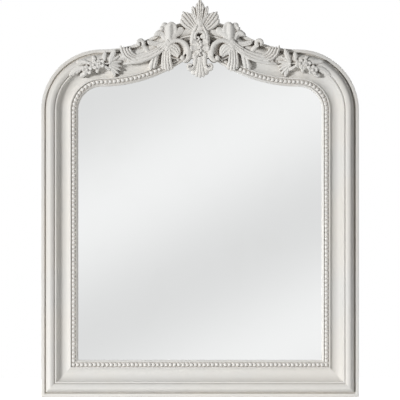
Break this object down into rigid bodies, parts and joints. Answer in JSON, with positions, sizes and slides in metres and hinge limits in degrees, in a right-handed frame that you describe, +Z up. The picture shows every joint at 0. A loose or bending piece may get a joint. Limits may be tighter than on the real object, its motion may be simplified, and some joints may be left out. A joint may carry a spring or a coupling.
{
  "type": "trumeau mirror",
  "caption": "Tall wall mirror in an antique white moulded frame with an ogee arched head, pearl beading, carved leaf crest and flower sprays on the shoulders.",
  "frame": {"origin": "middle of the frame's bottom edge, on the plane of its back that lies against the wall", "axes": "+Z up, +X to the right as seen from the front, +Y from the front to the wall"},
  "size_m": [0.9, 0.06, 1.1248],
  "materials": {
    "frame_paint": "antique white paint",
    "bead_paint": "antique white paint",
    "ornament_paint": "antique white paint on cast ornament",
    "mirror_silver": "silvered glass",
    "back_board": "bare hardboard",
    "spline_wood": "bare beech",
    "block_rubber": "black rubber",
    "button_brass": "brass plate",
    "hanger_zinc": "zinc plate"
  },
  "bodies": {
    "frame": {"left_stile": "frame_paint", "right_stile": "frame_paint", "bottom_rail": "frame_paint", "head_rail": "frame_paint", "mitre_splines": "spline_wood", "head_splines": "spline_wood", "bead_strip_left": "bead_paint", "bead_strip_right": "bead_paint", "bead_strip_bottom": "bead_paint", "bead_strip_head_left": "bead_paint", "bead_strip_head_right": "bead_paint", "mirror_glass": "mirror_silver", "backing_board": "back_board", "setting_blocks": "block_rubber", "hanger_plate_left": "hanger_zinc", "hanger_plate_right": "hanger_zinc", "crest_palmette": "ornament_paint", "crest_cartouche": "ornament_paint", "left_wing": "ornament_paint", "right_wing": "ornament_paint", "left_spray": "ornament_paint", "right_spray": "ornament_paint"},
    "turn_button_left_1": {"turn_button_left_1": "button_brass"},
    "turn_button_left_2": {"turn_button_left_2": "button_brass"},
    "turn_button_left_3": {"turn_button_left_3": "button_brass"},
    "turn_button_left_4": {"turn_button_left_4": "button_brass"},
    "hanger_ring_left": {"hanger_ring_left": "hanger_zinc"},
    "turn_button_right_1": {"turn_button_right_1": "button_brass"},
    "turn_button_right_2": {"turn_button_right_2": "button_brass"},
    "turn_button_right_3": {"turn_button_right_3": "button_brass"},
    "turn_button_right_4": {"turn_button_right_4": "button_brass"},
    "hanger_ring_right": {"hanger_ring_right": "hanger_zinc"}
  },
  "joints": [
    {"name": "turn_button_left_1_turn", "type": "hinge", "parent": "frame", "child": "turn_button_left_1", "pos_m": [-0.372, -0.0058, 0.24], "axis": [0, 1, 0], "range_deg": [-90, 90]},
    {"name": "turn_button_left_2_turn", "type": "hinge", "parent": "frame", "child": "turn_button_left_2", "pos_m": [-0.372, -0.0058, 0.62], "axis": [0, 1, 0], "range_deg": [-90, 90]},
    {"name": "turn_button_left_3_turn", "type": "hinge", "parent": "frame", "child": "turn_button_left_3", "pos_m": [-0.19, -0.0058, 0.078], "axis": [0, 1, 0], "range_deg": [-90, 90]},
    {"name": "turn_button_left_4_turn", "type": "hinge", "parent": "frame", "child": "turn_button_left_4", "pos_m": [-0.18597, -0.0058, 0.9183], "axis": [0, 1, 0], "range_deg": [-90, 90]},
    {"name": "hanger_ring_left_swing", "type": "hinge", "parent": "frame", "child": "hanger_ring_left", "pos_m": [-0.372, -0.00304, 0.77], "axis": [1, 0, 0], "range_deg": [0, 180]},
    {"name": "turn_button_right_1_turn", "type": "hinge", "parent": "frame", "child": "turn_button_right_1", "pos_m": [0.372, -0.0058, 0.24], "axis": [0, 1, 0], "range_deg": [-90, 90]},
    {"name": "turn_button_right_2_turn", "type": "hinge", "parent": "frame", "child": "turn_button_right_2", "pos_m": [0.372, -0.0058, 0.62], "axis": [0, 1, 0], "range_deg": [-90, 90]},
    {"name": "turn_button_right_3_turn", "type": "hinge", "parent": "frame", "child": "turn_button_right_3", "pos_m": [0.19, -0.0058, 0.078], "axis": [0, 1, 0], "range_deg": [-90, 90]},
    {"name": "turn_button_right_4_turn", "type": "hinge", "parent": "frame", "child": "turn_button_right_4", "pos_m": [0.18597, -0.0058, 0.9183], "axis": [0, 1, 0], "range_deg": [-90, 90]},
    {"name": "hanger_ring_right_swing", "type": "hinge", "parent": "frame", "child": "hanger_ring_right", "pos_m": [0.372, -0.00304, 0.77], "axis": [1, 0, 0], "range_deg": [0, 180]}
  ]
}
